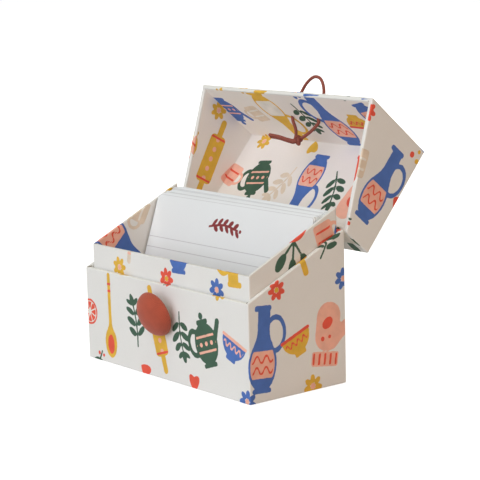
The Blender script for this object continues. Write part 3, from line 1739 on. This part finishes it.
@dataclass
class Button:
    """The button's cloth cover; what it is stretched over keeps its solid."""

    radius: float = 14.3
    dome: float = 8.5
    back_bulge: float = 4.2
    skin: float = 0.8
    opening: float = 7.5
    tilt: float = 16.5
    middle: Place = (0.0, -43.33, 42.6)
    back_rings: int = 14
    front_rings: int = 40
    sides: int = 128
    weave_turn: float = 0.5

    def build(self) -> Surface:
        """A turned shape: in through the opening, round the back, the edge and the front.

        Each half of the profile is a quarter ellipse on the rim plane; the cloth's edge is turned
        in at the opening. The UV map is the millimetres across the button, for the weave.

        Returns:
            The surface, tilted and set in its place.
        """
        share = self.opening / (self.radius - self.skin)
        begin = math.acos(self.opening / self.radius)
        profile = [(self.opening, (self.back_bulge - self.skin) * math.sqrt(1 - share ** 2))]
        profile += [(self.radius * math.cos(a), self.back_bulge * math.sin(a))
                    for a in np.linspace(begin, 0, self.back_rings)]
        profile += [(self.radius * math.cos(a), -self.dome * math.sin(a))
                    for a in np.linspace(0, math.pi / 2, self.front_rings)[1:]]
        profile = np.array(profile)
        angle = np.linspace(0, 2 * math.pi, self.sides, endpoint=False)
        r, depth = profile[:, :1], profile[:, 1:]
        grid = np.stack([r * np.cos(angle), np.broadcast_to(depth, (len(r), len(angle))),
                         r * np.sin(angle)], -1)
        made = Surface.from_grid(grid, closed_u=True).flipped()
        across = np.hypot(made.points[:, 0], made.points[:, 2]) + np.repeat(
            np.where(profile[:, 1] > 0, 2 * profile[:, 1], 0), len(angle))
        way = np.arctan2(made.points[:, 2], made.points[:, 0]) + self.weave_turn
        made.uv = np.stack([across * np.cos(way), across * np.sin(way)], -1)
        made.points = made.points @ turn_about_x(self.tilt).T + np.array(self.middle)
        return made.welded()

    def dress(self, materials: Materials) -> None:
        """Puts the cloth on the button."""
        made = self.build().to_object("button_cloth", materials["cloth"], "button")
        replace(made, "button_cloth", "button_cover")


@dataclass
class Cards:
    """A ruled heading card and the pack behind it, all leaning back on the tray.

    The cards behind stand in bundles. From the front to the back they lean and are turned a little
    less, and each is shifted to a side and upwards by chance. Each has one place on the UV map:
    grey_level above the top ruled line, on its fading edge, or white_level above it, clear of it.
    """

    half_width: float = 76.2
    height: float = 101.6
    thickness: float = 0.35
    count: int = 30
    first_foot: float = -13.59
    pitch: float = 0.55
    floor: float = 5.75
    corner: float = 3.0
    corner_rows: int = 8
    heading_columns: int = 230
    heading_rows: int = 144
    turn: float = 0.8
    lean: float = 19.0
    lean_change: float = 1.5
    bundle_lifts: tuple[float, ...] = (0.5, 1.0, 1.9)
    bundle_rolls: tuple[float, ...] = (0.0, 0.15, 0.4)
    divider_drop: float = 0.25
    height_scatter: float = 0.12
    side_scatter: float = 0.4
    grey_level: float = 0.21
    white_level: float = 20.0
    mark_middle: tuple[float, float] = (-3.5, 87.2)
    mark_leaves: tuple[float, ...] = (-11.5, -6.2, -0.9, 4.4, 9.7)
    mark_bow: float = 1.3
    mark_half_length: float = 14.5
    mark_half_width: float = 0.7

    def rows(self, between: int) -> tuple[Array, Array]:
        """Heights up a card with round corners, and its half width at each.

        Args:
            between: How many rows lie between the corners.

        Returns:
            Both arrays; by a corner the half width follows its quarter circle.
        """
        turn = np.linspace(0, math.pi / 2, self.corner_rows)
        low = self.corner * (1 - np.cos(turn))
        half = self.half_width - self.corner * (1 - np.sin(turn))
        up = np.concatenate([low, np.linspace(low[-1], self.height - low[-1], between + 2)[1:-1],
                             self.height - low[::-1]])
        return up, np.concatenate([half, np.full(between, self.half_width), half[::-1]])

    def blank(self, columns: int, between: int) -> list[Surface]:
        """A card's front, back and cut edge, given across, backwards and up from its foot.

        Args:
            columns: How many points the front has across.
            between: How many rows it has between the corners.

        Returns:
            The three surfaces.
        """
        up, half = self.rows(between)
        across = np.linspace(-1, 1, columns) * half[:, None]
        rise = np.broadcast_to(up[:, None], across.shape)
        front = np.stack([across, np.full_like(across, -self.thickness), rise], -1)
        back = np.stack([across[:, [0, -1]], np.zeros((len(up), 2)), rise[:, [0, -1]]], -1)
        x = np.concatenate([across[0], half, across[-1, ::-1], -half[::-1]])
        z = np.concatenate([rise[0], up, rise[-1], up[::-1]])
        edge = np.stack([np.column_stack([x, np.full(len(x), y), z]) for y in (0, -self.thickness)])
        return [Surface.from_grid(front), Surface.from_grid(back).flipped(),
                Surface.from_grid(edge)]

    def placed(self, local: Array, index: int, turn: float, lean: float, shift: Array) -> Array:
        """Puts a card where it stands.

        Args:
            local: Its points, given across, backwards and up from its foot.
            index: Its number from the front.
            turn: Its turn to the left, seen from above, in degrees.
            lean: How far it leans back, in degrees.
            shift: How far it is moved besides.

        Returns:
            The points in the box's frame.
        """
        leaned = local @ turn_about_x(-lean).T
        c, s = math.cos(math.radians(turn)), math.sin(math.radians(turn))
        turned = leaned @ np.array([[c, s, 0], [-s, c, 0], [0, 0, 1]])
        return turned + [0, self.first_foot + self.pitch * index, self.floor] + shift

    def heading(self) -> Surface:
        """The heading card: a fine front face for its marks, closed by a plain back.

        Returns:
            The card where it stands, its UV map in millimetres.
        """
        parts = self.blank(self.heading_columns, self.heading_rows)
        for part in parts:
            x, z = part.points[:, 0], part.points[:, 2]
            part.uv = part.points[:, [0, 2]]
            part.values = {"mark": self.flourish(x, z)}
        made = Surface.joined(parts).welded()
        made.points = self.placed(made.points, 0, self.turn, self.lean, np.zeros(3))
        return made

    def flourish(self, x: Array, z: Array) -> Array:
        """The heading's mark: a bowed stem with leaves on both sides and a dot.

        Args:
            x: Points' places across the card.
            z: Their heights above its foot.

        Returns:
            Signed distances to the mark; the stem's bow is a cosine that is taken off the height.
        """
        u, t = x - self.mark_middle[0], z - self.mark_middle[1]
        t = t - self.mark_bow * np.cos(u * 0.16)
        stem = np.maximum(np.abs(t) - self.mark_half_width, np.abs(u) - self.mark_half_length)
        shapes = [stem, disc(u, t, 16.6, 0, 1.2)]
        for place in self.mark_leaves:
            shapes += [oval(u, t, place + 2.2, 2.2, 2.8, 1.35, 0.75),
                       oval(u, t, place + 4.4, -2.2, 2.8, 1.35, -0.75)]
        return np.clip(union(*shapes), -FAR, FAR)

    def pack(self) -> Surface:
        """The cards behind it, in bundles that stand higher towards the back.

        The first of each bundle is a pale grey card a little lower than the rest, and a bundle is
        rolled towards one side.

        Returns:
            All the cards as one surface.
        """
        dice = np.random.default_rng(SEED)
        card = Surface.joined(self.blank(2, 0)).welded()
        card.values = {"mark": np.full(len(card.points), FAR)}
        parts = []
        bundle = self.count // len(self.bundle_lifts)
        for index in range(1, self.count + 1):
            along = index / self.count
            group, place = divmod(index - 1, bundle)
            rise = dice.uniform(0, self.height_scatter) if place else -self.divider_drop
            roll = math.tan(math.radians(self.bundle_rolls[group]))
            local = card.points + np.outer((self.half_width - card.points[:, 0]) * roll, [0, 0, 1])
            aside = dice.uniform(-self.side_scatter, self.side_scatter)
            points = self.placed(local, index, self.turn * (1 - along),
                                 self.lean - self.lean_change * along,
                                 np.array([aside, 0.0, self.bundle_lifts[group] + rise]))
            level = RULED_TOP + (self.white_level if place else self.grey_level)
            parts.append(Surface(points, card.faces, card.values, np.full((len(points), 2), level)))
        return Surface.joined(parts)

    def dress(self, materials: Materials) -> None:
        """Stands the cards in the tray.

        Args:
            materials: The box's materials.
        """
        made = self.heading().to_object("heading_card_ruled", materials["ruled"], "front_card",
                                        smooth=False)
        replace(made, "card", "heading_card")
        made = self.pack().to_object("card_pack", materials["ruled"], "case", smooth=False)
        replace(made, "card", "index_cards")


@dataclass(frozen=True)
class CordEnd:
    """An end of the cord: the solids that it stands for and its way from its hole to the knot.

    One end's tail lies above the other's, and one of them holds the knot.
    """

    name: str
    nodes: tuple[str, str]
    strand: tuple[Place, ...]
    above: bool
    holds_knot: bool


@dataclass
class Cord:
    """The braided cord: a loop outside the lid, two ends inside it and the knot that joins them.

    The points are given on the shut lid. The loop lies in a plane that is tilted about loop_foot,
    and each end's tail runs on from the knot's middle, beside the other's.
    """

    loop_tilt: float = 206.0
    loop_foot: Place = (0, -38.5, 86.0)
    loop_flat: tuple[tuple[float, float], ...] = (
        (-11.7, -2.0), (-11.7, 0.0), (-11.2, 7.0), (-8.8, 13.9), (-4.9, 19.9), (0.8, 23.5),
        (7.0, 22.4), (11.4, 16.8), (13.2, 8.6), (13.3, 0.0), (13.3, -2.0))
    ends: tuple[CordEnd, CordEnd] = (
        CordEnd("cord_end_left", ("cord_strand_left", "cord_tail_lower"),
                ((-11.7, -37.9, 86), (-11.6, -34.5, 86.1), (-10.6, -32.1, 87.3),
                 (-6.7, -27.0, 90.2)), above=False, holds_knot=True),
        CordEnd("cord_end_right", ("cord_strand_right", "cord_tail_upper"),
                ((13.3, -37.9, 86), (13.4, -34.5, 86.2), (14.1, -32.0, 87.1), (8.6, -25.2, 88.7)),
                above=True, holds_knot=False))
    tail: tuple[Place, ...] = ((-1.4, 0.6, -0.3), (-6.0, 1.6, -1.6), (-12.4, 1.8, -4.3),
                               (-18.3, 2.8, -6.9))
    loop_points: int = 160
    end_points: int = 150
    knot_points: int = 120
    sides: int = 14
    knot_sides: int = 12
    knot_middle: Place = (0.65, -19.5, 89.7)
    knot_stretch: Place = (1.0, 0.88, 1.5)
    apart: float = 1.15
    apart_way: Place = (-0.36, 0, 0.93)

    def loop_path(self) -> Array:
        """The loop's centre line on the open lid.

        Returns:
            Array of shape (n, 3).
        """
        flat = np.array([(x, y, 0.0) for x, y in self.loop_flat])
        tilted = flat @ turn_about_x(self.loop_tilt).T + self.loop_foot
        return opened(smooth_path(tilted, self.loop_points))

    def end_path(self, end: CordEnd) -> Array:
        """An end's centre line, from its hole through the knot to its cut tip, on the open lid.

        Args:
            end: The end.

        Returns:
            Array of shape (n, 3).
        """
        beside = np.array(self.apart_way) * self.apart * (1 if end.above else -1)
        points = np.vstack([end.strand, np.array(self.knot_middle) + self.tail + beside])
        return opened(smooth_path(points, self.end_points))

    def knot_path(self) -> Array:
        """A closed trefoil, which goes twice round its middle while it rises and falls three times.

        Seen from above it is a place on a circle plus twice that on a circle walked twice as fast
        the other way; its drop is the sine of three times the angle.

        Returns:
            Array of shape (n, 3), the last point being the first again.
        """
        t = np.linspace(0, 2 * math.pi, self.knot_points, endpoint=False)
        trefoil = np.stack([np.sin(t) + 2 * np.sin(2 * t), np.cos(t) - 2 * np.cos(2 * t),
                            -np.sin(3 * t)], -1)
        path = opened(trefoil * self.knot_stretch + self.knot_middle)
        return np.vstack([path, path[:1]])

    def dress(self, materials: Materials) -> None:
        """Makes the three cords and the knot and says how long each cord is.

        Args:
            materials: The box's materials.
        """
        braid = materials["braid"]
        knot = tube(self.knot_path(), CORD_RADIUS, self.knot_sides, capped=False)
        knot = replace(knot.to_object("cord_knot_wound", braid, "lid"), "cord", "cord_knot")
        path = self.loop_path()
        loop = tube(path, CORD_RADIUS, self.sides).to_object("cord_loop_braided", braid, "loop")
        replace(loop, "cord", "cord_loop")
        for end in self.ends:
            path = self.end_path(end)
            made = tube(path, CORD_RADIUS, self.sides).to_object(end.name, braid, "lid")
            replace(made, "cord", *end.nodes)

    @staticmethod
    def length(path: Array) -> float:
        """A path's length in metres."""
        return float(distances_along(path)[-1]) * METRE


@dataclass
class CardBox:
    """The whole object."""

    case: Case = field(default_factory=Case)
    tray: Tray = field(default_factory=Tray)
    lid: Lid = field(default_factory=Lid)
    hinge: PaperHinge = field(default_factory=PaperHinge)
    button: Button = field(default_factory=Button)
    cards: Cards = field(default_factory=Cards)
    cord: Cord = field(default_factory=Cord)
    looks: dict[str, str] = field(default_factory=lambda: {
        "board": "board", "underside": "plain", "thread": "thread", "mould": "wood",
        "plate": "plastic", "washer": "plastic"})

    def dress(self, materials: Materials) -> None:
        """Builds every piece and finishes the solids that are shown as they are.

        Args:
            materials: The box's materials; looks gives each solid's by a word of its name.
        """
        for part in (self.case, self.tray, self.lid, self.hinge, self.button, self.cards, self.cord):
            part.dress(materials)
        for name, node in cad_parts.items():
            for word, look in self.looks.items():
                if word in name:
                    node.data.materials.clear()
                    node.data.materials.append(materials[look])


# ---- Studio ----
def stood(place: Place, right: Array, up: Array) -> Matrix:
    """The placement of a lamp or camera, which looks away from right cross up.

    Args:
        place: Where it stands, in metres.
        right: Its right, of length one.
        up: Its up, of length one.

    Returns:
        The world matrix.
    """
    turn = np.stack([right, up, np.cross(right, up)], 1)
    return Matrix([[*row, at] for row, at in zip(turn, place)] + [[0, 0, 0, 1]])


@dataclass(frozen=True)
class Lamp:
    """A soft square lamp: where it hangs and what it faces, in metres, its watts and its side."""

    name: str
    place: Place
    power: float
    size: float
    colour: Colour
    target: Place = (0, 0, 0.08)

    def hang(self) -> None:
        """Puts the lamp up, facing its target."""
        light = bpy.data.lights.new(self.name, "AREA")
        light.energy, light.size, light.color = self.power, self.size, self.colour
        holder = put_up(self.name, light)
        back = np.array(self.place) - np.array(self.target)
        back /= np.linalg.norm(back)
        right = np.cross([0, 0, 1], back)
        right /= np.linalg.norm(right)
        holder.matrix_world = stood(self.place, right, np.cross(back, right))


@dataclass
class Studio:
    """The camera, the lamps, the floor and the white behind them.

    Places are in metres, the lens and its sensor in millimetres. The floor glows by itself for what
    the camera sees, from floor_glow near the box to white past the two distances of floor_fade, and
    takes the lamps' light and the box's shadow besides.
    """

    camera_place: Place = (0.820497, -0.630364, 0.260937)
    camera_right: Place = (0.626895, 0.778688, -0.025441)
    camera_up: Place = (-0.117002, 0.126378, 0.985058)
    lens: float = 127.07
    sensor: float = 36.0
    sight: tuple[float, float] = (0.05, 50.0)
    lamps: tuple[Lamp, ...] = (
        Lamp("front", (0.3, -1.9, 0.9), power=38.2, size=2.2, colour=(0.937, 0.945, 1.0)),
        Lamp("top", (0.1, -0.3, 1.9), power=11.6, size=1.8, colour=(0.96, 1.0, 0.78)),
        Lamp("side", (1.7, 0.1, 0.7), power=8.2, size=1.4, colour=(1.0, 0.62, 0.40)),
        Lamp("back", (-1.0, 1.8, 0.9), power=17.0, size=1.4, colour=(1.0, 0.97, 0.93)),
    )
    floor_half: float = 12.0
    floor_colour: Colour = (0.88, 0.88, 0.88)
    floor_glow: float = 0.81
    floor_fade: tuple[float, float] = (0.25, 0.9)
    white: Colour = (1.0, 1.0, 1.0)

    def build(self) -> None:
        """Sets everything up."""
        self.build_camera()
        self.build_floor()
        self.build_world()
        for lamp in self.lamps:
            lamp.hang()

    def build_camera(self) -> None:
        """A long lens at the place and turn worked out for the view."""
        camera = bpy.data.cameras.new("camera")
        camera.lens, camera.sensor_width = self.lens, self.sensor
        camera.clip_start, camera.clip_end = self.sight
        camera.dof.use_dof = False
        holder = put_up("camera", camera)
        holder.matrix_world = stood(self.camera_place, np.array(self.camera_right),
                                    np.array(self.camera_up))
        bpy.context.scene.camera = holder

    def build_floor(self) -> None:
        """A wide pale floor under the box."""
        mesh = bpy.data.meshes.new("floor")
        far = self.floor_half
        corners = [(-far, -far, 0), (far, -far, 0), (far, far, 0), (-far, far, 0)]
        mesh.from_pydata(corners, [], [(0, 1, 2, 3)])
        material = bpy.data.materials.new("floor")
        material.use_nodes = True
        shader = material.node_tree.nodes["Principled BSDF"]
        shader.inputs["Base Color"].default_value = rgba(self.floor_colour)
        shader.inputs["Roughness"].default_value = 1.0
        shader.inputs["Specular IOR Level"].default_value = 0.0
        bench = NodeBench(material.node_tree)
        glow = bench.add("ShaderNodeEmission", {"Color": rgba(self.white)})
        where = bench.add("ShaderNodeTexCoord").outputs["Object"]
        away = bench.add("ShaderNodeVectorMath", {0: where}, operation="LENGTH").outputs["Value"]
        strength = bench.spread(away, *self.floor_fade, self.floor_glow, 1.0, smooth=True)
        bench.link(bench.maths("MULTIPLY", bench.seen(), strength), glow.inputs["Strength"])
        both = bench.add("ShaderNodeAddShader", {0: shader.outputs[0], 1: glow.outputs[0]})
        bench.link(both.outputs[0], bench.tree.nodes["Material Output"].inputs["Surface"])
        mesh.materials.append(material)
        put_up("floor", mesh)

    def build_world(self) -> None:
        """White behind everything, which gives no light of its own."""
        world = bpy.data.worlds.new("world")
        bpy.context.scene.world = world
        world.use_nodes = True
        bench = NodeBench(world.node_tree)
        lights = bench.tree.nodes["Background"]
        lights.inputs["Strength"].default_value = 0.0
        seen = bench.add("ShaderNodeBackground", {"Color": rgba(self.white), "Strength": 1.0})
        both = bench.add("ShaderNodeMixShader", {0: bench.seen(), 1: lights.outputs[0],
                                                 2: seen.outputs[0]})
        bench.link(both.outputs[0], bench.tree.nodes["World Output"].inputs["Surface"])


def write_sizes() -> None:
    """Writes the solids' size and the finished object's, to compare."""
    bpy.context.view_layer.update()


def main() -> None:
    """Builds the box and the studio."""
    logging.basicConfig(level=logging.INFO, format="%(name)s: %(message)s")
    CardBox().dress(Finishes().dress())
    Studio().build()
    bpy.context.scene.view_settings.view_transform = "Standard"
    write_sizes()


if __name__ == "__main__":
    main()
